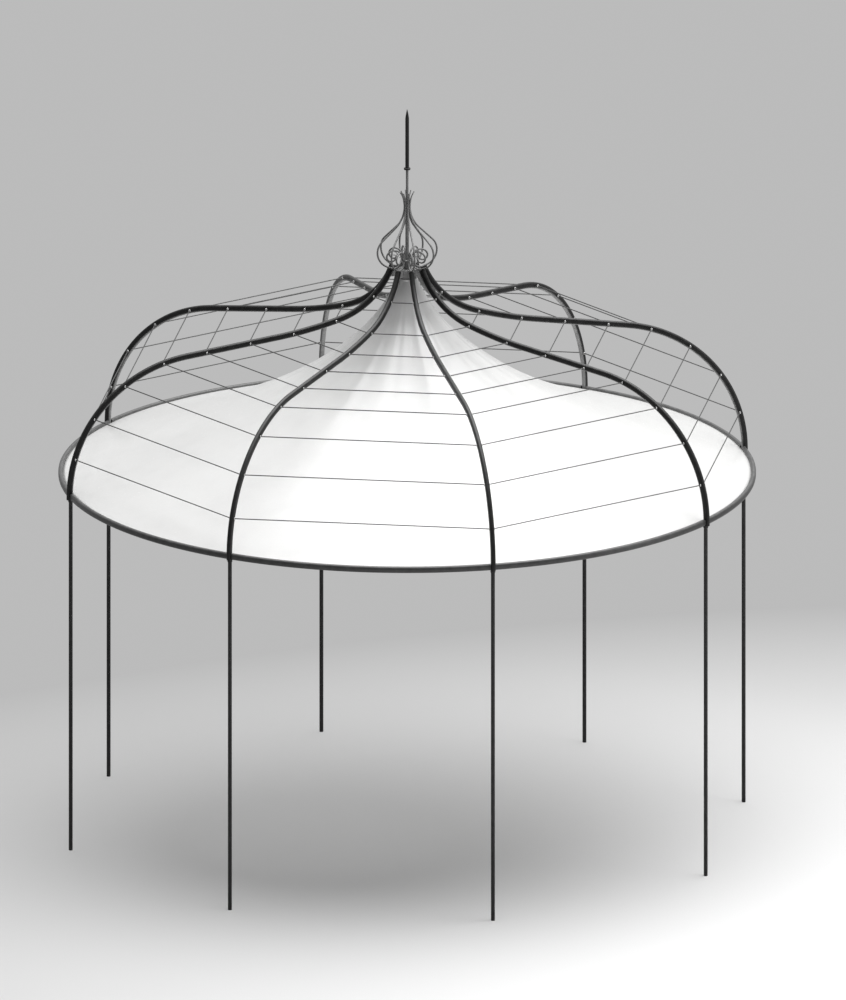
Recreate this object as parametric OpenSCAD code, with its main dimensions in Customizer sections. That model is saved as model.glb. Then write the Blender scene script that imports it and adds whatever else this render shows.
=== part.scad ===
// Round garden canopy: slim posts carry an eaves ring, S-curved ribs rise from it to a hub,
// straight wires run from rib to rib, a pointed fabric cone hangs below them from hub to ring,
// and a cage of scrolled bars with a needle stands on the hub.
// Origin: centre of the plan at floor level, +Z up, the front bay faces -Y.

/* [Plan] */
// Radius of the circle that the posts stand on
ring_r = 2100; // [1700:10:2500]
// Height of the eaves ring's centre line above the floor
ring_z = 2227; // [1900:1:2600]
// Number of bays, and so of posts and ribs
bays = 8; // [6:1:10]

/* [Posts] */
// Diameter of a post's tube
post_d = 24; // [16:0.5:28]
// Diameter of the sleeve at a post's top
sleeve_d = 30; // [28:0.5:38]
// Height of the sleeve at a post's top
sleeve_h = 14; // [8:1:60]

/* [Eaves ring] */
// Width of the ring's section, from its inner to its outer side
ring_w = 30; // [20:1:40]
// Height of the ring's section
ring_h = 40; // [30:1:60]
// Width of the flat on each corner of the ring's section, measured along its sides
ring_corner = 9; // [2:0.5:11]
// How far the ring's centre line lies inside the posts' circle
ring_set = 5; // [0:0.5:12]

/* [Ribs] */
// Width of a rib's section, along the eaves
rib_w = 28; // [24:1:40]
// Depth of a rib's section, from its outer to its inner side
rib_d = 39; // [32:1:50]
// Width of the flat on each corner of a rib's section, measured along its sides
rib_corner = 8.5; // [2:0.5:11]
// How far a rib's centre line stands outside the posts' circle
rib_set = 6; // [0:0.5:12]
// Upright stretch of a rib above the eaves ring's centre line
rib_upright = 1; // [0:1:80]
// Radius of the lower half of the bend above the eaves
shoulder_r = 829; // [600:1:900]
// How far that lower half turns, in degrees
shoulder_turn = 43.5; // [20:0.5:60]
// Radius of the upper half of the bend
haunch_r = 858; // [600:1:1000]
// Slope of the straight stretch, in degrees
rafter_slope = 8; // [4:0.1:14]
// Radius of the first bend upwards, towards the hub
neck_r = 2466; // [600:1:2700]
// Slope where the second bend upwards starts, in degrees
neck_slope = 17; // [14:0.5:40]
// Radius of the second bend upwards
throat_r = 509; // [300:1:560]
// Slope at a rib's top end, in degrees
crown_slope = 68; // [60:0.5:74]

/* [Wires] */
// Diameter of a wire
wire_d = 6.5; // [3:0.5:8]
// Number of wires between two ribs
wires = 9; // [6:1:11]
// Distance along a rib from the eaves ring's centre line to the lowest wire
wire_first = 236; // [120:1:320]
// Distance along a rib from the topmost wire to the rib's end
wire_last = 198; // [150:1:300]

/* [Canopy] */
// Thickness of the fabric with its hems
fabric_t = 3; // [2:0.5:6]
// Slope of the fabric at the eaves, in degrees
eaves_slope = 19.2; // [14:0.1:22]
// How far the flat lower stretch of the fabric reaches
eaves_reach = 477; // [400:1:700]
// Slope of the fabric at the hub, in degrees
peak_slope = 69.3; // [64:0.1:82]
// How far the steep upper stretch of the fabric reaches
peak_reach = 749; // [600:1:800]
// How far below the hub's top the fabric ends
peak_drop = 50; // [42:1:60]

/* [Hub] */
// Radius at which the ribs end
crown_r = 86; // [80:1:110]
// Radius of the hub's tube
hub_r = 55; // [46:1:70]
// Height of the hub's tube
hub_h = 80; // [66:1:110]
// Thickness of the lugs between the hub's tube and the ribs
lug_t = 10; // [8:1:14]
// Height of the lugs
lug_h = 41; // [20:1:42]

/* [Cage] */
// Diameter of a cage bar
bar_d = 11; // [6:0.5:13]
// Straight stretch of a bar outside its rib's end
bar_foot = 22; // [5:1:30]
// Radius of the lower half of the bulge
bulge_r = 100; // [90:1:140]
// Radius of the upper half of the bulge
brow_r = 92; // [60:1:110]
// How far a bar leans inwards above the bulge, in degrees
bar_lean = 46; // [40:0.5:56]
// Radius of the bend into the waist
waist_bend_r = 190; // [120:1:220]
// Radius of the flare above the waist
flare_r = 165; // [120:1:300]
// How far a bar's top end leans outwards, in degrees
flare_lean = 33; // [10:0.5:40]
// Radius of the scroll's first turn, inside the bar's foot
scroll_r = 50; // [40:1:56]

/* [Spire] */
// Diameter of the boss at the rod's foot
boss_d = 50; // [30:1:54]
// Height of the boss
boss_h = 55; // [20:1:90]
// Diameter of the central rod inside the cage
rod_d = 22; // [16:0.5:26]
// Diameter of the rod above the waist
stem_d = 16; // [8:0.5:18]
// Height of the stem above the cage's open top
stem_rise = 140; // [60:1:220]
// Diameter of the collar under the needle
collar_d = 40; // [30:1:60]
// Height of the collar under the needle
collar_h = 12; // [6:1:20]
// Diameter of the needle
needle_d = 23; // [16:0.5:28]
// Length of the needle above its collar, with the point
needle_l = 367; // [200:1:500]
// Length of the needle's point
point_l = 57; // [20:1:90]

/* [Hidden] */
$fn = 48;
// clearance where a piece seats on its neighbour
seat = 0.2;
// free width between neighbouring bars at the waist, and from bar to rod
bar_gap = 1;
rod_gap = 0.5;
// straight run of a scroll after its first turn
scroll_run = 14;
// later turns of a scroll: each turn's radius as a share of the first, and its angle
scroll_shares = [0.96, 0.58, 0.3];
scroll_turns = [150, 200, 120];
// the fabric meets the eaves ring this far above its centre line
hem_rise = 5.5;
// how far a lug runs into the hub's tube
lug_root = 5;
// flat top of the needle's point
tip_r = 1.5;
// points along the fabric's profile
profile_steps = 16;
// stretches of a rib
rib_parts = 54;
// sides of a cage bar, and its stretches along the scroll and along the cage
bar_sides = 6;
scroll_parts = 24;
cage_parts = 22;

bay_angle = 360 / bays;
half_bay = bay_angle / 2;
post_h = ring_z - ring_h / 2;
ring_mid_r = ring_r - ring_set;
ring_inner_r = ring_mid_r - ring_w / 2;
rib_foot_r = ring_r + rib_set;

// a route is a start, a heading and a list of [radius, turn] or [0, length] steps;
// a turn above 0 goes to the left and one below 0 to the right
rib_end_r = crown_r + seat + rib_d / 2 * sin(crown_slope);
rafter_l = (rib_foot_r - rib_end_r
    - shoulder_r * (1 - cos(shoulder_turn))
    - haunch_r * (cos(shoulder_turn) - sin(rafter_slope))
    - neck_r * (sin(neck_slope) - sin(rafter_slope))
    - throat_r * (sin(crown_slope) - sin(neck_slope))) / cos(rafter_slope);
rib_steps = [
    [0, ring_h / 2 + rib_upright],
    [shoulder_r, shoulder_turn],
    [haunch_r, 90 - shoulder_turn - rafter_slope],
    [0, rafter_l],
    [neck_r, rafter_slope - neck_slope],
    [throat_r, neck_slope - crown_slope]
];
rib_start = [rib_foot_r, post_h, 90];
rib_end = walk(rib_start, rib_steps, route_length(rib_steps));
wire_pitch = (route_length(rib_steps) - ring_h / 2 - wire_first - wire_last) / (wires - 1);

// a bar lies across its rib's end, from the scroll inside to the bulge outside
bar_tilt = 90 - crown_slope;
bar_face = bar_d / 2 * cos(180 / bar_sides) + seat;
bar_seat = [for (i = [0, 1])
    rib_end[i] + bar_face * [cos(rib_end[2]), sin(rib_end[2])][i]];
waist_r = max(rod_d / 2 + bar_d / 2 + rod_gap, (bar_d + bar_gap) / (2 * sin(half_bay)));
scroll_steps = concat(
    [[scroll_r, -90 - bar_tilt], [0, scroll_run]],
    [for (i = [0 : len(scroll_turns) - 1]) [scroll_r * scroll_shares[i], -scroll_turns[i]]]
);
bulge_out = bar_seat[0] + bar_foot * cos(bar_tilt) + bulge_r * (1 - sin(bar_tilt));
bar_l = (bulge_out - waist_r - (brow_r + waist_bend_r) * (1 - cos(bar_lean))) / sin(bar_lean);
cage_steps = [
    [0, bar_foot],
    [bulge_r, 90 - bar_tilt],
    [brow_r, bar_lean],
    [0, bar_l],
    [waist_bend_r, -bar_lean],
    [flare_r, -flare_lean]
];
cage_start = [bar_seat[0], bar_seat[1], bar_tilt];
scroll_start = [bar_seat[0], bar_seat[1], bar_tilt + 180];
cage_top = walk(cage_start, cage_steps, route_length(cage_steps));
waist_z = cage_top[1] - flare_r * sin(flare_lean);

hub_top = bar_seat[1] - scroll_r * (1 - cos(bar_tilt)) - bar_d / 2 - seat;
stem_top = cage_top[1] + stem_rise;

// the fabric's outer side is one cubic curve from the eaves ring to the hub
hem = [ring_inner_r - seat, ring_z + hem_rise];
peak = [hub_r + seat + fabric_t, hub_top - peak_drop];
hem_pull = hem + eaves_reach * [-cos(eaves_slope), sin(eaves_slope)];
peak_pull = peak + peak_reach * [cos(peak_slope), -sin(peak_slope)];

// length of one step, and of a whole route
function step_length(step) = step[0] == 0 ? step[1] : step[0] * abs(step[1]) * PI / 180;
function route_length(steps, i = 0) =
    i == len(steps) ? 0 : step_length(steps[i]) + route_length(steps, i + 1);

// [x, y, heading] after moving a distance into one step
function ahead(state, step, distance) =
    let (
        turn = step[0] == 0 ? 0 : sign(step[1]) * distance / step[0] * 180 / PI,
        side = step[0] * sign(step[1]),
        h = state[2]
    )
    step[0] == 0
        ? [state[0] + distance * cos(h), state[1] + distance * sin(h), h]
        : [state[0] + side * (sin(h + turn) - sin(h)), state[1] - side * (cos(h + turn) - cos(h)), h + turn];

// [x, y, heading] after a distance along a route
function walk(state, steps, distance, i = 0) =
    let (here = step_length(steps[i]))
    i == len(steps) - 1 || distance <= here
        ? ahead(state, steps[i], min(distance, here))
        : walk(ahead(state, steps[i], here), steps, distance - here, i + 1);

// azimuth of a post or rib, and of the bay after it
function post_azimuth(i) = -90 + half_bay + i * bay_angle;

// point on a cubic curve through a and d, pulled towards b and c
function curve(a, b, c, d, t) =
    pow(1 - t, 3) * a + 3 * pow(1 - t, 2) * t * b + 3 * (1 - t) * pow(t, 2) * c + pow(t, 3) * d;
function curve_slope(a, b, c, d, t) =
    pow(1 - t, 2) * (b - a) + 2 * (1 - t) * t * (c - b) + pow(t, 2) * (d - c);
function fabric_outside(t) = curve(hem, hem_pull, peak_pull, peak, t);
function fabric_inside(t) =
    let (s = curve_slope(hem, hem_pull, peak_pull, peak, t))
    fabric_outside(t) + fabric_t / norm(s) * [-s[1], s[0]];

// one closed bar along a line of places [x, y, heading]; its section's points are
// [to the left, upwards] of the line, in the turning sense from left to up
module swept(places, section) {
    sides = len(section);
    last = len(places) - 1;
    points = [for (at = places, p = section)
        [at[0] - p[0] * sin(at[2]), at[1] + p[0] * cos(at[2]), p[1]]];
    skin = [for (j = [0 : last - 1], k = [0 : sides - 1])
        let (next = (k + 1) % sides, a = j * sides, b = a + sides)
        [a + k, a + next, b + next, b + k]];
    polyhedron(
        points = points,
        faces = concat(
            skin,
            [[for (k = [sides - 1 : -1 : 0]) k]],
            [[for (k = [0 : sides - 1]) last * sides + k]]
        ),
        convexity = 6
    );
}

// stands a route up in the vertical plane at an azimuth, from [radius, height, heading]
module stand(azimuth, start) {
    rotate([0, 0, azimuth])
        rotate([90, 0, 0])
            translate([start[0], start[1], 0])
                rotate([0, 0, start[2]])
                    children();
}

module post(i) {
    color("#2b2b2b")
        rotate([0, 0, post_azimuth(i)])
            translate([ring_r, 0, 0]) {
                cylinder(d = post_d, h = post_h - seat);
                translate([0, 0, post_h - seat - sleeve_h])
                    cylinder(d = sleeve_d, h = sleeve_h);
            }
}

module eaves_ring(i) {
    gap_angle = asin((rib_w / 2 + seat) / ring_inner_r);
    x = ring_w / 2;
    y = ring_h / 2;
    cut = ring_corner;
    color("#4a4a4a")
        rotate([0, 0, post_azimuth(i) + gap_angle])
            translate([0, 0, ring_z])
                rotate_extrude(angle = bay_angle - 2 * gap_angle, $fn = 128)
                    translate([ring_mid_r, 0])
                        polygon([
                            [x, -y + cut], [x, y - cut], [x - cut, y], [-x + cut, y],
                            [-x, y - cut], [-x, -y + cut], [-x + cut, -y], [x - cut, -y]
                        ]);
}

module rib(i) {
    x = rib_d / 2;
    y = rib_w / 2;
    cut = rib_corner;
    rib_l = route_length(rib_steps);
    color("#333333")
        stand(post_azimuth(i), [0, 0, 0])
            swept(
                [for (j = [0 : rib_parts]) walk(rib_start, rib_steps, rib_l * j / rib_parts)],
                [
                    [x, -y + cut], [x, y - cut], [x - cut, y], [-x + cut, y],
                    [-x, y - cut], [-x, -y + cut], [-x + cut, -y], [x - cut, -y]
                ]
            );
}

module wires(i) {
    end_gap = (rib_w / 2 + seat + wire_d / 2 * sin(half_bay)) / cos(half_bay);
    color("#8a8a8a")
        for (level = [0 : wires - 1]) {
            at = walk(rib_start, rib_steps, ring_h / 2 + wire_first + level * wire_pitch);
            half_l = at[0] * sin(half_bay) - end_gap;
            rotate([0, 0, post_azimuth(i) + half_bay])
                translate([at[0] * cos(half_bay), half_l, at[1]])
                    rotate([90, 0, 0])
                        cylinder(d = wire_d, h = 2 * half_l, $fn = 16);
        }
}

module canopy_gore(i) {
    color("#f4f4f2")
        rotate([0, 0, post_azimuth(i)])
            rotate_extrude(angle = bay_angle, $fn = 128)
                polygon(concat(
                    [for (j = [0 : profile_steps]) fabric_outside(j / profile_steps)],
                    [for (j = [profile_steps : -1 : 0]) fabric_inside(j / profile_steps)]
                ));
}

// a tube with one lug in each rib's plane; a lug's outer side follows its rib's inner side
module crown_hub() {
    rib_corner_z = rib_end[1] - rib_d / 2 * cos(crown_slope);
    lug_z = hub_top - lug_h;
    color("#2b2b2b") {
        translate([0, 0, hub_top - hub_h])
            cylinder(r = hub_r, h = hub_h);
        for (i = [0 : bays - 1])
            stand(post_azimuth(i), [0, 0, 0])
                linear_extrude(lug_t, center = true)
                    polygon([
                        [hub_r - lug_root, lug_z],
                        [crown_r + (rib_corner_z - lug_z) / tan(crown_slope), lug_z],
                        [crown_r, rib_corner_z],
                        [crown_r, hub_top],
                        [hub_r - lug_root, hub_top]
                    ]);
    }
}

// one bar of the cage, from the inner end of its scroll to its top
module cage_bar() {
    inner_l = route_length(scroll_steps);
    outer_l = route_length(cage_steps);
    swept(
        concat(
            [for (j = [scroll_parts : -1 : 1])
                let (at = walk(scroll_start, scroll_steps, inner_l * j / scroll_parts))
                [at[0], at[1], at[2] + 180]],
            [for (j = [0 : cage_parts]) walk(cage_start, cage_steps, outer_l * j / cage_parts)]
        ),
        [for (k = [0 : bar_sides - 1])
            let (a = (k + 0.5) * 360 / bar_sides)
            bar_d / 2 * [cos(a), sin(a)]]
    );
}

module crown_cage() {
    color("#2b2b2b")
        for (i = [0 : bays - 1])
            stand(post_azimuth(i), [0, 0, 0])
                cage_bar();
}

module crown_rod() {
    color("#2b2b2b")
        translate([0, 0, hub_top]) {
            cylinder(d = boss_d, h = boss_h);
            cylinder(d = rod_d, h = waist_z - hub_top);
            cylinder(d = stem_d, h = stem_top - hub_top);
        }
}

module crown_needle() {
    color("#2b2b2b")
        translate([0, 0, stem_top]) {
            cylinder(d = collar_d, h = collar_h);
            cylinder(d = needle_d, h = collar_h + needle_l - point_l);
            translate([0, 0, collar_h + needle_l - point_l])
                cylinder(r1 = needle_d / 2, r2 = tip_r, h = point_l);
        }
}

for (i = [0 : bays - 1]) {
    post(i);
    eaves_ring(i);
    rib(i);
    wires(i);
    canopy_gore(i);
}
crown_hub();
crown_cage();
crown_rod();
crown_needle();
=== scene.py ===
"""Round garden canopy, dressed over its solids.

Slim round posts carry an eaves ring of rounded rectangular tube. S-curved ribs rise from it to
a hub, and straight wires run from rib to rib, each ending in a bead on a rib's side. A pointed
cloth hangs below them from the hub to the ring. A cage of scrolled bars and a needle stand on
the hub. Lengths are in metres, and angles in degrees unless a comment says otherwise.
"""

import math

import bpy
import numpy as np
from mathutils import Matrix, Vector


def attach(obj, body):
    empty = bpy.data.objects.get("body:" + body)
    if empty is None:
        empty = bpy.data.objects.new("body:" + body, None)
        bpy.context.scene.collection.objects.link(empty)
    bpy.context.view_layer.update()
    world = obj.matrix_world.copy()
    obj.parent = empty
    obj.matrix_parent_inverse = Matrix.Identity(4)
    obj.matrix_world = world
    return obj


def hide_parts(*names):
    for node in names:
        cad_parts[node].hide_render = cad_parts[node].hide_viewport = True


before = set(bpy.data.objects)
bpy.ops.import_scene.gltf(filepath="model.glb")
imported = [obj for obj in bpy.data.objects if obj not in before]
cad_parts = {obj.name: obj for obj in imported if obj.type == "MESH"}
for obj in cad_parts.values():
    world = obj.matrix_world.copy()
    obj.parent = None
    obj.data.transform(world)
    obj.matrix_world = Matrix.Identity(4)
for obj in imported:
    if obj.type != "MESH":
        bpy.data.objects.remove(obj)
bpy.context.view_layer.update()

# ---------------------------------------------------------------- sizes

BAYS = 8
BAY = 360 / BAYS
POSTS_R, RING_Z = 2.100, 2.227
RING_W, RING_H, RING_ROUND = 0.030, 0.040, 0.013
RING_SET, RIB_SET = 0.005, 0.006  # the ring's middle inside the posts' circle, the ribs' outside
RING_MID = POSTS_R - RING_SET
RING_INNER = RING_MID - RING_W / 2
POST_D, SLEEVE_D, SLEEVE_H = 0.024, 0.030, 0.014
POST_H = RING_Z - RING_H / 2
RIB_FOOT, RIB_W, RIB_D, RIB_ROUND = POSTS_R + RIB_SET, 0.028, 0.039, 0.0125
WIRE_D, WIRES, WIRE_FIRST, WIRE_LAST = 0.0065, 9, 0.236, 0.198
WIRE_SHIFT, WIRE_SINK = 0.006, 0.001  # outwards along the rib's side, and into it
BEAD_R, BEAD_RISE, BEAD_SINK = 0.0076, 0.0034, 0.0005
CROWN_R, HUB_R, HUB_H = 0.086, 0.055, 0.080
LUG_T, LUG_H, LUG_ROOT = 0.010, 0.041, 0.005
BAR_D, BAR_SIDES = 0.011, 6  # the solid's bar is six-sided and lies on a flat
SEAT = 0.0002  # the gap between two pieces that touch
AXIS_R = 0.004  # where a turned profile's flat ends begin
CROWN_SLOPE = 68
RIB_END_R = CROWN_R + SEAT + RIB_D / 2 * math.sin(math.radians(CROWN_SLOPE))


def sine(angle):
    return math.sin(math.radians(angle))


def cosine(angle):
    return math.cos(math.radians(angle))


# ---------------------------------------------------------------- routes


def lengths(steps):
    """Length of each step: its own length where straight, radius times angle where bent."""
    return [
        amount if radius == 0 else radius * abs(math.radians(amount)) for radius, amount in steps
    ]


def walk(start, steps, distances):
    """Points along a route of straight runs and bends in one upright plane.

    start is (out, up, heading). A step is (0, length) or (radius, turn), a turn above 0 going
    to the left. On a straight run the point moves by distance along the heading h; on a bend
    of signed radius s it is s (sin(h + a) - sin h) out and s (cos h - cos(h + a)) up, where a
    is distance over s. Returns the columns out, up and heading in radians."""
    out, up, heading = start[0], start[1], math.radians(start[2])
    distances = np.asarray(distances, float)
    places = np.zeros((len(distances), 3))
    passed = 0.0
    for (radius, amount), length in zip(steps, lengths(steps)):
        here = np.clip(distances - passed, 0, length)
        signed = radius * np.sign(amount)
        turn = here / signed if radius else here * 0
        if radius:
            column = np.stack([
                out + signed * (np.sin(heading + turn) - math.sin(heading)),
                up + signed * (math.cos(heading) - np.cos(heading + turn)),
                heading + turn,
            ], axis=1)
        else:
            column = np.stack([
                out + here * math.cos(heading), up + here * math.sin(heading), heading + turn,
            ], axis=1)
        reached = distances >= passed - 1e-9
        places[reached] = column[reached]
        out, up, heading = walk_end((out, up, heading), radius, amount, length)
        passed += length
    return places


def walk_end(state, radius, amount, length):
    """Where one step of a route ends, from (out, up, heading in radians)."""
    out, up, heading = state
    if radius == 0:
        return out + length * math.cos(heading), up + length * math.sin(heading), heading
    signed = radius * (1 if amount > 0 else -1)
    later = heading + math.radians(amount)
    return (
        out + signed * (math.sin(later) - math.sin(heading)),
        up + signed * (math.cos(heading) - math.cos(later)),
        later,
    )


SHOULDER_R, SHOULDER_TURN, HAUNCH_R, RAFTER_SLOPE = 0.829, 43.5, 0.858, 8
NECK_R, NECK_SLOPE, THROAT_R, RIB_UPRIGHT = 2.466, 17, 0.509, 0.001
RAFTER = (
    RIB_FOOT - RIB_END_R
    - SHOULDER_R * (1 - cosine(SHOULDER_TURN))
    - HAUNCH_R * (cosine(SHOULDER_TURN) - sine(RAFTER_SLOPE))
    - NECK_R * (sine(NECK_SLOPE) - sine(RAFTER_SLOPE))
    - THROAT_R * (sine(CROWN_SLOPE) - sine(NECK_SLOPE))
) / cosine(RAFTER_SLOPE)
RIB_START = (RIB_FOOT, POST_H, 90)
RIB_STEPS = [
    (0, RING_H / 2 + RIB_UPRIGHT),
    (SHOULDER_R, SHOULDER_TURN),
    (HAUNCH_R, 90 - SHOULDER_TURN - RAFTER_SLOPE),
    (0, RAFTER),
    (NECK_R, RAFTER_SLOPE - NECK_SLOPE),
    (THROAT_R, NECK_SLOPE - CROWN_SLOPE),
]
RIB_L = sum(lengths(RIB_STEPS))
RIB_END = walk(RIB_START, RIB_STEPS, [RIB_L])[0]
WIRE_AT = RING_H / 2 + WIRE_FIRST + np.arange(WIRES) * (
    (RIB_L - RING_H / 2 - WIRE_FIRST - WIRE_LAST) / (WIRES - 1)
)
WIRE_LEVELS = walk(RIB_START, RIB_STEPS, WIRE_AT)

BAR_TILT = 90 - CROWN_SLOPE
BAR_SEAT = RIB_END[:2] + (BAR_D / 2 * cosine(180 / BAR_SIDES) + SEAT) * np.array([
    math.cos(RIB_END[2]), math.sin(RIB_END[2])
])
BAR_FOOT, BULGE_R, BROW_R, BAR_LEAN, WAIST_BEND_R = 0.022, 0.100, 0.092, 46, 0.190
FLARE_R, FLARE_LEAN, WAIST_R, SCROLL_R, SCROLL_RUN = 0.165, 33, 0.017, 0.050, 0.014
SCROLL_TURNS = [(0.96, 150), (0.58, 200), (0.3, 120)]  # share of the scroll's radius, and turn
BULGE_OUT = BAR_SEAT[0] + BAR_FOOT * cosine(BAR_TILT) + BULGE_R * (1 - sine(BAR_TILT))
BAR_L = (
    BULGE_OUT - WAIST_R - (BROW_R + WAIST_BEND_R) * (1 - cosine(BAR_LEAN))
) / sine(BAR_LEAN)
CAGE_STEPS = [
    (0, BAR_FOOT), (BULGE_R, 90 - BAR_TILT), (BROW_R, BAR_LEAN), (0, BAR_L),
    (WAIST_BEND_R, -BAR_LEAN), (FLARE_R, -FLARE_LEAN),
]
SCROLL_STEPS = [
    (SCROLL_R, -90 - BAR_TILT), (0, SCROLL_RUN),
    *[(SCROLL_R * share, -turn) for share, turn in SCROLL_TURNS],
]
HUB_TOP = BAR_SEAT[1] - SCROLL_R * (1 - cosine(BAR_TILT)) - BAR_D / 2 - SEAT


def azimuth(index):
    """Direction, in radians, of a post and its rib, counted from 0. The middle of the bay
    after it is half a bay on."""
    return math.radians(-90 + BAY / 2 + index * BAY)


# ---------------------------------------------------------------- mesh makers


def make(name, points, faces, finish, uv, sharp=35):
    """A mesh piece from points and faces, smooth but for edges sharper than the given angle.
    uv holds, for each point, how far it lies round and along the surface, in metres."""
    mesh = bpy.data.meshes.new(name)
    mesh.from_pydata(np.asarray(points).tolist(), [], [list(face) for face in faces])
    layer = mesh.uv_layers.new(name="surface")
    corners = np.empty(len(mesh.loops), dtype=np.int32)
    mesh.loops.foreach_get("vertex_index", corners)
    layer.data.foreach_set("uv", np.asarray(uv, dtype=np.float32)[corners].ravel())
    mesh.polygons.foreach_set("use_smooth", np.ones(len(mesh.polygons), dtype=bool))
    mesh.set_sharp_from_angle(angle=math.radians(sharp))
    mesh.materials.append(finish)
    mesh.update()
    piece = bpy.data.objects.new(name, mesh)
    bpy.context.scene.collection.objects.link(piece)
    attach(piece, "root")
    return piece


def grid_faces(rows, columns):
    """Quads between neighbouring rows of a grid, numbered row by row, whose last column joins
    the first. Row and column directions cross outwards."""
    row = np.arange(rows - 1)[:, None] * columns
    column = np.arange(columns)[None, :]
    following = (column + 1) % columns
    return np.stack([
        row + column, row + columns + column, row + columns + following, row + following,
    ], axis=-1).reshape(-1, 4)


def capped_faces(rows, columns):
    """The faces of a closed outline repeated row by row, and of its two flat ends. The
    outline turns from left to up, so the grid's quads are reversed to face outwards."""
    faces = grid_faces(rows, columns)[:, ::-1].tolist()
    faces.append(list(range(columns))[::-1])
    faces.append(list(range((rows - 1) * columns, rows * columns)))
    return faces


def run_along(line):
    """How far along a line of points each of them lies, from the first."""
    return np.concatenate([[0], np.cumsum(np.linalg.norm(np.diff(line, axis=0), axis=1))])


def uv_grid(around, along):
    """The uv of a grid of points, from its columns' and its rows' lengths."""
    return np.stack(np.broadcast_arrays(around[None, :], along[:, None]), axis=-1).reshape(-1, 2)


def gather(parts):
    """Several (points, faces, uv) sets as one, with the faces renumbered."""
    points, faces, uvs, count = [], [], [], 0
    for p, f, u in parts:
        points.append(p)
        uvs.append(u)
        faces += [[n + count for n in face] for face in f]
        count += len(p)
    return np.concatenate(points), faces, np.concatenate(uvs)


def tube(path, left, section, scale=None):
    """A closed outline carried along a path, its two ends closed.

    Point (i, j) is path i, plus the outline's first number times the unit vector to the left
    at i, plus its second times the unit vector upwards, which is forwards cross left. scale
    narrows the outline from place to place. The outline turns from left to up."""
    path, left, section = (np.asarray(a, float) for a in (path, left, section))
    forward = np.gradient(path, axis=0)
    forward /= np.linalg.norm(forward, axis=1)[:, None]
    left = left - (left * forward).sum(1)[:, None] * forward
    left /= np.linalg.norm(left, axis=1)[:, None]
    up = np.cross(forward, left)
    size = np.ones(len(path)) if scale is None else np.asarray(scale)
    points = (
        path[:, None]
        + size[:, None, None] * section[None, :, :1] * left[:, None]
        + size[:, None, None] * section[None, :, 1:] * up[:, None]
    ).reshape(-1, 3)
    faces = capped_faces(len(path), len(section))
    return points, faces, uv_grid(run_along(section), run_along(path))


def circle(diameter, sides):
    """A round outline of that diameter."""
    a = np.arange(sides) * 2 * math.pi / sides
    return diameter / 2 * np.stack([np.cos(a), np.sin(a)], axis=1)


def rounded_box(width, height, radius, steps):
    """A rectangle whose corners are quarter circles of that radius, turning from left to up."""
    a = np.linspace(0, math.pi / 2, steps + 1)
    corner = radius * np.stack([np.cos(a), np.sin(a)], axis=1)
    x, y = width / 2 - radius, height / 2 - radius
    sides = []
    for quarter, (cx, cy) in enumerate([(x, y), (-x, y), (-x, -y), (x, -y)]):
        c, s = round(math.cos(quarter * math.pi / 2)), round(math.sin(quarter * math.pi / 2))
        sides.append(corner @ np.array([[c, s], [-s, c]]) + [cx, cy])
    return np.concatenate(sides)


def turned(profile, sides, centre=(0.0, 0.0)):
    """A profile of (radius, height) pairs, from its lower end to its upper, turned round an
    upright axis: point (i, j) is radius i at angle 360 j / sides. Both ends are closed."""
    profile = np.asarray(profile, float)
    a = np.arange(sides) * 2 * math.pi / sides
    r, z = profile[:, :1], profile[:, 1:]
    points = np.stack(np.broadcast_arrays(
        centre[0] + r * np.cos(a), centre[1] + r * np.sin(a), z
    ), axis=-1).reshape(-1, 3)
    faces = capped_faces(len(profile), sides)
    return points, faces, uv_grid(a * profile[:, 0].max(), run_along(profile))


def hoop(outline, sides):
    """A closed outline of (radius, height) points, which turns from out to up, carried right
    round the upright axis: point (i, j) is outline point j at angle 360 i / sides."""
    a = np.arange(sides) * 2 * math.pi / sides
    points = np.stack(np.broadcast_arrays(
        outline[None, :, 0] * np.cos(a)[:, None], outline[None, :, 0] * np.sin(a)[:, None],
        outline[None, :, 1] + 0 * a[:, None]
    ), axis=-1).reshape(-1, 3)
    count = len(outline)
    row = np.arange(sides)[:, None] * count
    later = (np.arange(sides)[:, None] + 1) % sides * count
    column = np.arange(count)[None, :]
    following = (column + 1) % count
    faces = np.stack([row + column, later + column, later + following, row + following], axis=-1)
    uv = uv_grid(run_along(outline), a * outline[:, 0].mean())
    return points, faces.reshape(-1, 4), uv


def plate(outline, direction, thickness):
    """A flat plate in the upright plane at a direction in radians: its (out, up) outline,
    which turns from out to up, on either side of that plane."""
    outline = np.asarray(outline, float)
    middle = upright(outline, direction)
    half = thickness / 2 * np.array([-math.sin(direction), math.cos(direction), 0])
    count = len(outline)
    faces = [[k, (k + 1) % count, count + (k + 1) % count, count + k] for k in range(count)]
    faces.append(list(range(count))[::-1])
    faces.append(list(range(count, 2 * count)))
    uv = np.concatenate([outline, outline])
    return np.concatenate([middle + half, middle - half]), faces, uv


def eased(corners, radius, steps=4):
    """A profile of (radius, height) corners with each inner corner rounded: the corner gives
    way to a short curve between the points that lie the given radius from it on either side,
    B(t) = (1-t)^2 a + 2 t (1-t) corner + t^2 b."""
    corners = np.asarray(corners, float)
    t = np.linspace(0, 1, steps + 1)[:, None]
    line = [corners[:1]]
    for before, corner, after in zip(corners[:-2], corners[1:-1], corners[2:]):
        down, on = np.linalg.norm(before - corner), np.linalg.norm(after - corner)
        cut = min(radius, down / 2.2, on / 2.2)
        a = corner + cut * (before - corner) / down
        b = corner + cut * (after - corner) / on
        line.append((1 - t) ** 2 * a + 2 * t * (1 - t) * corner + t ** 2 * b)
    line.append(corners[-1:])
    return np.concatenate(line)


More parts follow.
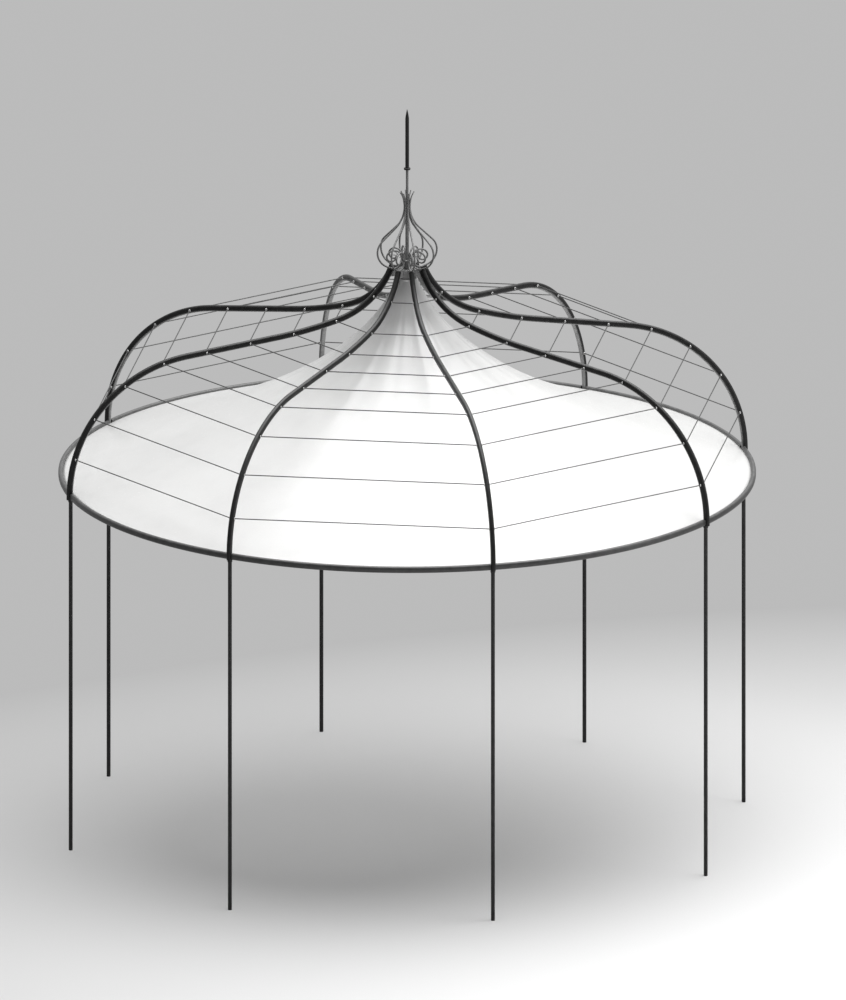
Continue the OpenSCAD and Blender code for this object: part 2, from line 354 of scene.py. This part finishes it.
def squashed_ball(centre, radius, axis, rise, around=12, rings=6):
    """A small sphere, rings of points at even angles from pole to pole, squashed to the half
    height rise along an axis of unit length."""
    lat = (np.arange(rings) + 0.5) * math.pi / rings
    lon = np.arange(around) * 2 * math.pi / around
    points = radius * np.stack(np.broadcast_arrays(
        np.sin(lat)[:, None] * np.cos(lon), np.sin(lat)[:, None] * np.sin(lon), np.cos(lat)[:, None]
    ), axis=-1).reshape(-1, 3)
    points += (rise / radius - 1) * (points @ axis)[:, None] * axis
    points += centre
    faces = grid_faces(rings, around).tolist()
    faces.append(list(range(around)))
    faces.append(list(range((rings - 1) * around, rings * around))[::-1])
    return points, faces, np.zeros((len(points), 2))


def upright(places, direction):
    """Places (out, up) in the upright plane at a direction in radians, as points in space."""
    return np.stack([
        places[:, 0] * math.cos(direction), places[:, 0] * math.sin(direction), places[:, 1]
    ], axis=1)


def in_plane_left(places, direction):
    """Unit vectors to the left of each place's heading, in the same upright plane."""
    h = places[:, 2]
    return upright(np.stack([-np.sin(h), np.cos(h)], axis=1), direction)


# ---------------------------------------------------------------- shader maths


class Link:
    """One output of a shader node. Python's operators on it add the Math nodes they mean."""

    def __init__(self, nodes, socket):
        self.nodes, self.socket = nodes, socket

    def math(self, operation, *values):
        return self.nodes.add("ShaderNodeMath", {"operation": operation}, dict(enumerate(values)))

    def __add__(self, other):
        return self.math("ADD", self, other)

    def __sub__(self, other):
        return self.math("SUBTRACT", self, other)

    def __mul__(self, other):
        return self.math("MULTIPLY", self, other)

    __radd__ = __add__

    def sine(self):
        return self.math("SINE", self)

    def most(self, other):
        return self.math("MAXIMUM", self, other)

    def between(self, low, high):
        """0 below low, 1 above high, and an even slope between them."""
        return self.nodes.add(
            "ShaderNodeMapRange", {"clamp": True},
            {"Value": self, "From Min": low, "From Max": high, "To Min": 0.0, "To Max": 1.0},
        )


class Nodes:
    """Adds nodes to one tree: a node's settings first, then the values or links of its
    sockets."""

    def __init__(self, tree):
        self.tree = tree
        tree.nodes.clear()

    def add(self, kind, settings=None, sockets=None, output=0):
        node = self.tree.nodes.new(kind)
        for key, value in (settings or {}).items():
            setattr(node, key, value)
        for key, value in (sockets or {}).items():
            if isinstance(value, Link):
                self.tree.links.new(value.socket, node.inputs[key])
            else:
                node.inputs[key].default_value = value
        return Link(self, node.outputs[output]) if len(node.outputs) else node

    def vector(self, operation, first, second=None, output=0):
        """One Vector Math operation on one vector or two."""
        vectors = {0: first} if second is None else {0: first, 1: second}
        return self.add("ShaderNodeVectorMath", {"operation": operation}, vectors, output)

    def parts(self, vector):
        """The three numbers of a vector."""
        node = self.tree.nodes.new("ShaderNodeSeparateXYZ")
        self.tree.links.new(vector.socket, node.inputs[0])
        return [Link(self, socket) for socket in node.outputs]

    def noise(self, coordinates, scale, detail=3.0, roughness=0.5):
        return self.add("ShaderNodeTexNoise", {"noise_dimensions": "3D"}, {
            "Vector": coordinates, "Scale": scale, "Detail": detail, "Roughness": roughness,
        }, "Fac")

    def blend(self, factor, first, second):
        """Colour between two colours, by a factor from 0 to 1."""
        first, second = (c if isinstance(c, Link) else (*c, 1) for c in (first, second))
        sockets = {0: factor, 6: first, 7: second}
        return self.add("ShaderNodeMix", {"data_type": "RGBA"}, sockets, 2)

    def bump(self, height, strength, distance, normal=None):
        sockets = {"Height": height, "Strength": strength, "Distance": distance}
        if normal is not None:
            sockets["Normal"] = normal
        return self.add("ShaderNodeBump", {}, sockets)


def new_finish(name):
    """An empty material of that name, and what adds nodes to it."""
    finish = bpy.data.materials.new(name)
    finish.use_nodes = True
    return finish, Nodes(finish.node_tree)


def grey(tone):
    return tone, tone, tone


def painted_iron(name, dark, light, dust_and_painted_top_light, rough, relief, grain=26.0, inner=None, gloss=0.3):
    """Dark painted iron: broad and fine blotches between two greys, a paler tone where a face looks
    up that is partly a dusting and partly painted top light, painted bounce light from the cloth
    as a paler tone on the faces that look in at it, a sheen that follows the blotches, and a
    shallow hammered surface. The painted bounce light follows how far the normal points at the
    upright axis."""
    finish, n = new_finish(name)
    place = n.add("ShaderNodeTexCoord", {}, {}, "Object")
    geometry = n.add("ShaderNodeNewGeometry", {}, {}, "Normal")
    broad = n.noise(place, grain, 2.0, 0.55)
    fine = n.noise(place, grain * 6, 3.0, 0.6)
    hammer = n.add("ShaderNodeTexVoronoi", {"feature": "SMOOTH_F1"}, {
        "Vector": place, "Scale": 140.0, "Smoothness": 0.6,
    })
    blotch = (broad * 0.7 + fine * 0.3).between(0.36, 0.66)
    rise = n.vector("DOT_PRODUCT", geometry, (0, 0, 1), "Value")
    # painted top light: faces that look up take a paler tone, partly dust and partly light falling
    # from above
    dust_and_top_light_share = rise.between(0.15, 0.95) * (0.55 + blotch * 0.45)
    colour = n.blend(dust_and_top_light_share, n.blend(blotch, dark, light), dust_and_painted_top_light)
    # painted bounce light: faces that look down and in at the cloth take the paler inner tone,
    # standing for light thrown up off the cloth
    if inner is not None:
        axis = n.vector("NORMALIZE", n.vector("MULTIPLY", place, (1, 1, 0)))
        outwards = n.vector("DOT_PRODUCT", geometry, axis, "Value")
        painted_bounce_light = (rise * -0.6 - outwards * 0.8).between(0.1, 0.7) * (0.6 + blotch * 0.4)
        colour = n.blend(painted_bounce_light, colour, inner)
    sheen = rough - 0.1 + blotch * 0.14 + fine * 0.08
    normal = n.bump(hammer * 0.7 + fine * 0.5, relief, 0.0012)
    shader = n.add("ShaderNodeBsdfPrincipled", {}, {
        "Base Color": colour, "Roughness": sheen, "Metallic": 0.0, "IOR": 1.5,
        "Specular IOR Level": gloss, "Normal": normal,
    })
    n.add("ShaderNodeOutputMaterial", {}, {"Surface": shader})
    return finish


STRAND_PITCH = 0.012


def twisted_steel():
    """Dark stranded wire: strands slope round the wire, so their height and tone follow a
    sine of the way along, once every STRAND_PITCH, plus six times the way round: lighter on the
    strands and darker in the grooves between them."""
    finish, n = new_finish("twisted_steel")
    around, along, _ = n.parts(n.add("ShaderNodeUVMap", {"uv_map": "surface"}))
    turns = 2 * math.pi / (math.pi * WIRE_D)
    strand = (along * (2 * math.pi / STRAND_PITCH) + around * (6 * turns)).sine() * 0.5 + 0.5
    spot = n.noise(n.add("ShaderNodeTexCoord", {}, {}, "Object"), 60.0)
    colour = n.blend(strand * 0.6 + spot * 0.4, grey(0.03), grey(0.09))
    shader = n.add("ShaderNodeBsdfPrincipled", {}, {
        "Base Color": colour, "Metallic": 0.3, "Roughness": spot * 0.2 + 0.35,
        "Normal": n.bump(strand, 0.5, 0.0006),
    })
    n.add("ShaderNodeOutputMaterial", {}, {"Surface": shader})
    return finish


def polished_nickel():
    """Bright beads: pale nickel with faint clouding."""
    finish, n = new_finish("polished_nickel")
    cloud = n.noise(n.add("ShaderNodeTexCoord", {}, {}, "Object"), 300.0)
    shader = n.add("ShaderNodeBsdfPrincipled", {}, {
        "Base Color": n.blend(cloud, (0.55, 0.55, 0.545), (0.75, 0.75, 0.745)),
        "Metallic": 0.4, "Roughness": cloud * 0.15 + 0.2,
    })
    n.add("ShaderNodeOutputMaterial", {}, {"Surface": shader})
    return finish


# painted shade: between these heights the cloth's colour darkens towards the peak, down to this
# grey
GREY_FROM, GREY_TO, PEAK_SHADE_GREY = 2.74, 3.43, grey(0.44)
THROUGH = 0.22  # share of the cloth's shader that lets light through


def woven_cloth(name, pale, shade, thread):
    """White canvas: warp and weft cross as two sines along the cloth's own lengths, threads
    vary in tone, and soft creases and a faint dusting follow slow noise. Painted shade darkens
    the cloth in blotches, more and more between the heights GREY_FROM and GREY_TO, towards the
    peak."""
    finish, n = new_finish(name)
    across, along, _ = n.parts(n.add("ShaderNodeUVMap", {"uv_map": "surface"}))
    pitch = 2 * math.pi / thread
    warp, weft = (across * pitch).sine(), (along * pitch).sine()
    weave = warp * weft * 0.5 + 0.5
    body = n.add("ShaderNodeTexCoord", {}, {}, "Object")
    cloud = n.noise(body, 2.2, 3.0, 0.55)
    slub = n.noise(body, 90.0, 2.0)
    crease = n.noise(body, 7.0, 2.0, 0.5)
    height = n.parts(body)[2]
    # painted shade: darker towards the peak, broken into blotches by the crease noise
    painted_peak_shade = height.between(GREY_FROM, GREY_TO) + (crease - 0.5) * 0.25
    colour = n.blend((cloud * 0.6 + slub * 0.25 + weave * 0.15).between(0.3, 0.7), shade, pale)
    colour = n.blend(painted_peak_shade.between(0.0, 1.0), colour, PEAK_SHADE_GREY)
    normal = n.bump(weave * 0.5 + slub * 0.5, 0.25, 0.0005, n.bump(crease, 0.25, 0.004))
    front = n.add("ShaderNodeBsdfPrincipled", {}, {
        "Base Color": colour, "Roughness": slub * 0.1 + 0.2, "IOR": 1.6, "Normal": normal,
    })
    through = n.add("ShaderNodeBsdfTranslucent", {}, {"Color": colour, "Normal": normal})
    n.add("ShaderNodeOutputMaterial", {}, {
        "Surface": n.add("ShaderNodeMixShader", {}, {0: THROUGH, 1: front, 2: through})
    })
    return finish


# the third grey of each finish is dust and painted top light on the faces that look up
post_iron = painted_iron(
    "post_iron", grey(0.010), grey(0.028), grey(0.05), 0.6, gloss=0.25, relief=0.1,
)
# inner= on the ring and the ribs is painted bounce light from the cloth
ring_iron = painted_iron(
    "ring_iron", grey(0.014), grey(0.036), grey(0.09), 0.40, inner=grey(0.12), gloss=0.5,
    relief=0.05,
)
rib_iron = painted_iron(
    "rib_iron", grey(0.004), grey(0.012), grey(0.055), 0.36, inner=grey(0.28), gloss=0.22,
    relief=0.08,
)
crown_iron = painted_iron(
    "crown_iron", grey(0.12), grey(0.19), grey(0.22), 0.42, grain=14.0, relief=0.03,
)
hub_iron = painted_iron(
    "hub_iron", grey(0.24), grey(0.42), grey(0.30), 0.5, grain=40.0, relief=0.05,
)
needle_iron = painted_iron(
    "needle_iron", grey(0.004), grey(0.008), grey(0.015), 0.45, grain=14.0, gloss=0.25,
    relief=0.02,
)
wire_steel = twisted_steel()
nickel = polished_nickel()
PALE_CLOTH, SHADED_CLOTH = (0.77, 0.77, 0.765), (0.72, 0.72, 0.715)
canvas = woven_cloth("canvas", PALE_CLOTH, SHADED_CLOTH, 0.0022)
tape = woven_cloth("tape", PALE_CLOTH, SHADED_CLOTH, 0.003)

# ---------------------------------------------------------------- posts, ring and ribs

RIB_SECTION = rounded_box(RIB_D, RIB_W, RIB_ROUND, 6)
RING_SECTION = rounded_box(RING_W, RING_H, RING_ROUND, 4)
RIB_PLACES = walk(RIB_START, RIB_STEPS, np.linspace(0, RIB_L, 150))
# the ring's ends are cut flat against the ribs' side faces
RING_CUT = math.asin((RIB_W / 2 + SEAT) / RING_INNER)
POST_NECK = POST_H - SEAT - SLEEVE_H
POST_EDGE = 0.0015
POST_PROFILE = eased([
    (AXIS_R, 0.0), (POST_D / 2, 0.0), (POST_D / 2, POST_NECK), (SLEEVE_D / 2, POST_NECK),
    (SLEEVE_D / 2, POST_H - SEAT), (AXIS_R, POST_H - SEAT),
], POST_EDGE)

for index in range(BAYS):
    number = index + 1
    turn = azimuth(index)
    foot = (POSTS_R * math.cos(turn), POSTS_R * math.sin(turn))
    points, faces, uv = turned(POST_PROFILE, 32, foot)
    post = make(f"post_tube_{number}", points, faces, post_iron, uv)
    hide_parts(f"post_{number}")

    a = np.linspace(turn + RING_CUT, turn + math.radians(BAY) - RING_CUT, 65)
    path = np.stack([RING_MID * np.cos(a), RING_MID * np.sin(a), np.full(len(a), RING_Z)], axis=1)
    inwards = -np.stack([np.cos(a), np.sin(a), a * 0], axis=1)
    points, faces, uv = tube(path, inwards, RING_SECTION)
    ring = make(f"ring_tube_{number}", points, faces, ring_iron, uv)
    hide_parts(f"eaves_ring_{number}")

    path, left = upright(RIB_PLACES, turn), in_plane_left(RIB_PLACES, turn)
    points, faces, uv = tube(path, left, RIB_SECTION)
    rib = make(f"rib_tube_{number}", points, faces, rib_iron, uv)
    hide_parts(f"rib_{number}")

# ---------------------------------------------------------------- wires and beads

for index in range(BAYS):
    number = index + 1
    middle = azimuth(index) + math.radians(BAY / 2)
    outwards = np.array([math.cos(middle), math.sin(middle), 0])
    sideways = np.array([-math.sin(middle), math.cos(middle), 0])
    strands, beads = [], []
    for out, up, _ in WIRE_LEVELS:
        half = out * sine(BAY / 2) - (RIB_W / 2 - WIRE_SINK) / cosine(BAY / 2)
        centre = outwards * (out * cosine(BAY / 2) + WIRE_SHIFT * cosine(BAY / 2)) + [0, 0, up]
        reach = np.linspace(-half, half, 3)[:, None]
        path = centre + reach * sideways
        strands.append(tube(path, np.tile(outwards, (3, 1)), circle(WIRE_D, 10)))
        for side in (-1, 1):
            face = math.radians(side * BAY / 2)
            normal = sideways * math.cos(face) + outwards * math.sin(face)
            spot = centre + side * (half - BEAD_SINK) * sideways
            beads.append(squashed_ball(spot, BEAD_R, normal, BEAD_RISE))
    points, faces, uv = gather(strands)
    wires = make(f"wire_strands_{number}", points, faces, wire_steel, uv)
    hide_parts(f"wires_{number}")
    points, faces, uv = gather(beads)
    make(f"wire_beads_{number}", points, faces, nickel, uv)

# ---------------------------------------------------------------- cloth

FABRIC_T, CLOTH_T = 0.003, 0.0012  # the solid's thickness, and the cloth's inside it
HEM_RISE, PEAK_DROP = 0.0055, 0.050
HEM = np.array([RING_INNER - SEAT, RING_Z + HEM_RISE])
PEAK = np.array([HUB_R + SEAT + FABRIC_T, HUB_TOP - PEAK_DROP])
EAVES_SLOPE, PEAK_SLOPE, EAVES_PULL, THROAT_PULL = 19.2, 69.3, 0.477, 0.749
HEM_PULL = HEM + EAVES_PULL * np.array([-cosine(EAVES_SLOPE), sine(EAVES_SLOPE)])
PEAK_PULL = PEAK + THROAT_PULL * np.array([cosine(PEAK_SLOPE), -sine(PEAK_SLOPE)])
GATHERS_FROM, SINK = 0.45, 0.004
TAPE_W, TAPE_T, TAPE_FROM, TAPE_TO = 0.024, 0.0012, 0.004, 0.985
HEM_W, HEM_T, HEM_ROUND, HEM_SHIFT = 0.026, 0.0034, 0.0015, (-0.012, -0.002)
CLAMP_W, CLAMP_H, CLAMP_ROUND, CLAMP_SHIFT = 0.0024, 0.022, 0.001, (0.0005, -0.006)


def cloth_profile(t):
    """Radius and height of the cloth from hem (t = 0) to peak (t = 1): the cubic curve
    (1-t)^3 hem + 3 (1-t)^2 t hem_pull + 3 (1-t) t^2 peak_pull + t^3 peak."""
    t = np.asarray(t)[:, None]
    return (
        (1 - t) ** 3 * HEM + 3 * (1 - t) ** 2 * t * HEM_PULL
        + 3 * (1 - t) * t ** 2 * PEAK_PULL + t ** 3 * PEAK
    )


def outward_of(line):
    """Unit vectors square to a profile that runs from hem to peak, on its outer side."""
    slope = np.gradient(line, axis=0)
    slope /= np.linalg.norm(slope, axis=1)[:, None]
    return np.stack([slope[:, 1], -slope[:, 0]], axis=1)


def cloth_point(t, angle):
    """Point of the cloth at each place t of its profile and each angle round it. Soft
    gathers stand out of the curve near the peak: their depth is a sum of two sines round the
    cloth, times a hump along it that is 0 at both ends; between the ribs the cloth sinks a
    little under its own weight."""
    line = cloth_profile(t)
    outward = outward_of(line)
    hump = np.sin(np.pi * np.clip((t - GATHERS_FROM) / (1 - GATHERS_FROM), 0, 1)) ** 2
    gather_depth = 0.0007 * np.sin(37 * angle + 0.7) + 0.0010 * np.sin(22 * angle + 2.1)
    bay = 0.5 - 0.5 * np.cos(BAYS * (angle - azimuth(0)))
    sink = -SINK * np.sin(np.pi * t)
    depth = hump[:, None] * gather_depth[None, :] + sink[:, None] * bay[None, :] - FABRIC_T / 2
    r = line[:, :1] + depth * outward[:, :1]
    z = line[:, 1:] + depth * outward[:, 1:]
    return np.stack([r * np.cos(angle), r * np.sin(angle), z], axis=-1)


T = np.linspace(0, 1, 97)
ANGLES = np.linspace(0, 2 * math.pi, 321)[:-1]
UV_R = 1.1  # the radius at which the weave is as wide as it is long
line = cloth_profile(T)
along = run_along(line)
points = cloth_point(T, ANGLES).reshape(-1, 3)
faces = grid_faces(len(T), len(ANGLES))[:, ::-1]
uv = uv_grid(ANGLES * UV_R, along)
cloth = make("cloth", points, faces, canvas, uv, sharp=180)
wall = cloth.modifiers.new("thickness", "SOLIDIFY")
wall.thickness, wall.offset = CLOTH_T, 0.0
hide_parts(*[f"canopy_gore_{i + 1}" for i in range(BAYS)])
middle_r = (line[1:, 0] + line[:-1, 0]) / 2
cloth_area = float((2 * math.pi * middle_r * np.linalg.norm(np.diff(line, axis=0), axis=1)).sum())

# a tape on the cloth's underside follows each seam
tape_line = cloth_profile(np.linspace(TAPE_FROM, TAPE_TO, 60))
tape_outward = outward_of(tape_line)
tape_line = tape_line - (FABRIC_T / 2 + TAPE_T) * tape_outward
tape_section = rounded_box(TAPE_T, TAPE_W, TAPE_T * 0.45, 2)
points, faces, uv = gather([
    tube(upright(tape_line, azimuth(i)), upright(tape_outward, azimuth(i)), tape_section)
    for i in range(BAYS)
])
seams = make("seam_tapes", points, faces, tape, uv)

# a flat hem follows the cloth's edge beside the ring, and a thin clamp holds its peak
outline = HEM + HEM_SHIFT + rounded_box(HEM_W, HEM_T, HEM_ROUND, 3) @ np.array([
    [-cosine(EAVES_SLOPE), sine(EAVES_SLOPE)], [-sine(EAVES_SLOPE), -cosine(EAVES_SLOPE)]
])
points, faces, uv = hoop(outline, 256)
hem = make("hem", points, faces, tape, uv)
outline = PEAK + CLAMP_SHIFT + rounded_box(CLAMP_W, CLAMP_H, CLAMP_ROUND, 3)
points, faces, uv = hoop(outline, 96)
make("peak_clamp", points, faces, crown_iron, uv)

# ---------------------------------------------------------------- crown

# a lug's outer side follows the inner side of its rib
corner_z = RIB_END[1] - RIB_D / 2 * cosine(CROWN_SLOPE)
lug_z = HUB_TOP - LUG_H
lug_tip = CROWN_R + (corner_z - lug_z) / math.tan(math.radians(CROWN_SLOPE))
lug = [
    (HUB_R - LUG_ROOT, lug_z), (lug_tip, lug_z), (CROWN_R, corner_z), (CROWN_R, HUB_TOP),
    (HUB_R - LUG_ROOT, HUB_TOP),
]
HUB_EDGE, ROD_EDGE = 0.004, 0.003
hub_tube = turned(eased([
    (AXIS_R, HUB_TOP - HUB_H), (HUB_R, HUB_TOP - HUB_H), (HUB_R, HUB_TOP), (AXIS_R, HUB_TOP),
], HUB_EDGE), 96)
points, faces, uv = gather([hub_tube] + [plate(lug, azimuth(i), LUG_T) for i in range(BAYS)])
hub = make("hub", points, faces, hub_iron, uv)
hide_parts("crown_hub")

cage_l, scroll_l = sum(lengths(CAGE_STEPS)), sum(lengths(SCROLL_STEPS))
scroll = walk((*BAR_SEAT, BAR_TILT + 180), SCROLL_STEPS, np.linspace(scroll_l, 0, 90)[:-1])
scroll[:, 2] += math.pi
cage = walk((*BAR_SEAT, BAR_TILT), CAGE_STEPS, np.linspace(0, cage_l, 90))
bar_places = np.concatenate([scroll, cage])
# both ends of a bar are drawn out to a blunt tip
taper = np.concatenate([
    np.clip(np.linspace(0, 9, 89), 0.45, 1), np.clip(np.linspace(9, 0, 90), 0.6, 1),
])
bars = []
for index in range(BAYS):
    turn = azimuth(index)
    path, left = upright(bar_places, turn), in_plane_left(bar_places, turn)
    bars.append(tube(path, left, circle(BAR_D, 12), taper))
points, faces, uv = gather(bars)
cage_piece = make("scrolled_cage", points, faces, crown_iron, uv)
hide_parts("crown_cage")

top = walk((*BAR_SEAT, BAR_TILT), CAGE_STEPS, [cage_l])[0][1]
waist_z = top - FLARE_R * sine(FLARE_LEAN)
BOSS_R, BOSS_H, ROD_R, STEM_R, STEM_H, STEM_END_R = 0.025, 0.055, 0.011, 0.008, 0.140, 0.003
boss_top, stem_top = HUB_TOP + BOSS_H, top + STEM_H
profile = eased([
    (AXIS_R, HUB_TOP), (BOSS_R, HUB_TOP), (BOSS_R, boss_top), (ROD_R, boss_top),
    (ROD_R, waist_z), (STEM_R, waist_z), (STEM_R, stem_top), (STEM_END_R, stem_top),
], ROD_EDGE)
points, faces, uv = turned(profile, 40)
rod = make("spire_rod", points, faces, crown_iron, uv)
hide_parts("crown_rod")

COLLAR_R, COLLAR_H, NEEDLE_R, NEEDLE_H = 0.020, 0.012, 0.0115, 0.367
POINT_H, POINT_IN = 0.057, 0.010
collar_top = stem_top + COLLAR_H
needle_top = collar_top + NEEDLE_H
# from its shoulder up, the needle narrows by the share of the way to the power 1.25
share = np.linspace(0, 1, 9)
point = np.stack([
    NEEDLE_R - POINT_IN * share ** 1.25, needle_top - POINT_H * (1 - share),
], axis=1)
profile = np.concatenate([eased([
    (AXIS_R, stem_top), (COLLAR_R, stem_top), (COLLAR_R, collar_top), (NEEDLE_R, collar_top),
    (NEEDLE_R, needle_top - POINT_H),
], ROD_EDGE)[:-1], point])
points, faces, uv = turned(profile, 40)
needle = make("needle", points, faces, needle_iron, uv)
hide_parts("crown_needle")

# ---------------------------------------------------------------- stage, lamps and camera

BACKDROP, FILL = grey(0.50), 0.02
# the floor fades into the backdrop between two distances from a point of it
FADE_CENTRE, FADE_FROM, FADE_TO = (5.0, -6.0, 0.0), 4.05, 11.5
FLOOR_R, FLOOR_SIDES = 30, 96
finish, n = new_finish("floor_finish")
place = n.add("ShaderNodeTexCoord", {}, {}, "Object")
distance = n.vector("LENGTH", n.vector("SUBTRACT", place, FADE_CENTRE), output="Value")
speckle = n.noise(place, 120.0, 2.0)
lit = n.add("ShaderNodeBsdfDiffuse", {}, {
    "Color": n.blend(speckle, grey(0.86), grey(0.94)), "Roughness": 0.5
})
plain = n.add("ShaderNodeEmission", {}, {"Color": (*BACKDROP, 1), "Strength": 1.0})
faded = distance.between(FADE_FROM, FADE_TO)
n.add("ShaderNodeOutputMaterial", {}, {
    "Surface": n.add("ShaderNodeMixShader", {}, {0: faded, 1: lit, 2: plain})
})
edge = circle(2 * FLOOR_R, FLOOR_SIDES)
mesh = bpy.data.meshes.new("floor")
mesh.from_pydata([(x, y, 0) for x, y in edge.tolist()], [], [list(range(FLOOR_SIDES))])
mesh.materials.append(finish)
floor = bpy.data.objects.new("floor", mesh)
bpy.context.scene.collection.objects.link(floor)

world = bpy.data.worlds.new("studio")
bpy.context.scene.world = world
world.use_nodes = True
n = Nodes(world.node_tree)
path = n.tree.nodes.new("ShaderNodeLightPath")
seen = Link(n, path.outputs["Is Camera Ray"]).most(Link(n, path.outputs["Is Glossy Ray"])).most(
    Link(n, path.outputs["Is Transmission Ray"])
)
fill = n.add("ShaderNodeBackground", {}, {"Color": (1, 1, 1, 1), "Strength": FILL})
view = n.add("ShaderNodeBackground", {}, {"Color": (*BACKDROP, 1), "Strength": 1.0})
n.add("ShaderNodeOutputWorld", {}, {
    "Surface": n.add("ShaderNodeMixShader", {}, {0: seen, 1: fill, 2: view})
})

LIT = (0, 0, 2.0)  # what every lamp points at


def lamp(name, place, size, power):
    """A round lamp that faces the canopy: its place, its diameter and its watts."""
    data = bpy.data.lights.new(name, "AREA")
    data.shape, data.size, data.energy = "DISK", size, power
    lamp_object = bpy.data.objects.new(name, data)
    lamp_object.location = place
    towards = np.array(LIT) - np.array(place)
    lamp_object.rotation_mode = "QUATERNION"
    lamp_object.rotation_quaternion = Vector(towards).to_track_quat("-Z", "Y")
    bpy.context.scene.collection.objects.link(lamp_object)


lamp("overhead", (2.1, 1.9, 16.0), 19.5, 5400)
lamp("behind", (0.0, 11.0, 11.0), 6.0, 110)
lamp("right", (12.0, -2.0, 4.0), 6.0, 305)

# the camera's turn and tilt, its aim across and up its own picture, and its distance
CAMERA_AZ, CAMERA_EL = math.radians(8.2), math.radians(16.3)
AIM_ACROSS, AIM_ABOVE, CAMERA_FROM, CAMERA_SCALE, CAMERA_END = 0.0958, 1.9713, 14, 6.048, 60
camera_data = bpy.data.cameras.new("camera")
camera_data.type = "ORTHO"
camera_data.ortho_scale = CAMERA_SCALE
camera_data.clip_end = CAMERA_END
camera = bpy.data.objects.new("camera", camera_data)
bpy.context.scene.collection.objects.link(camera)
bpy.context.scene.camera = camera
level = math.cos(CAMERA_EL)
back = np.array([
    math.sin(CAMERA_AZ) * level, -math.cos(CAMERA_AZ) * level, math.sin(CAMERA_EL)
])
right = np.array([math.cos(CAMERA_AZ), math.sin(CAMERA_AZ), 0.0])
above = np.cross(back, right)
camera.location = AIM_ACROSS * right + AIM_ABOVE * above + CAMERA_FROM * back
camera.rotation_mode = "QUATERNION"
camera.rotation_quaternion = Vector(-back).to_track_quat("-Z", "Y")

bpy.context.scene.view_settings.view_transform = "Standard"
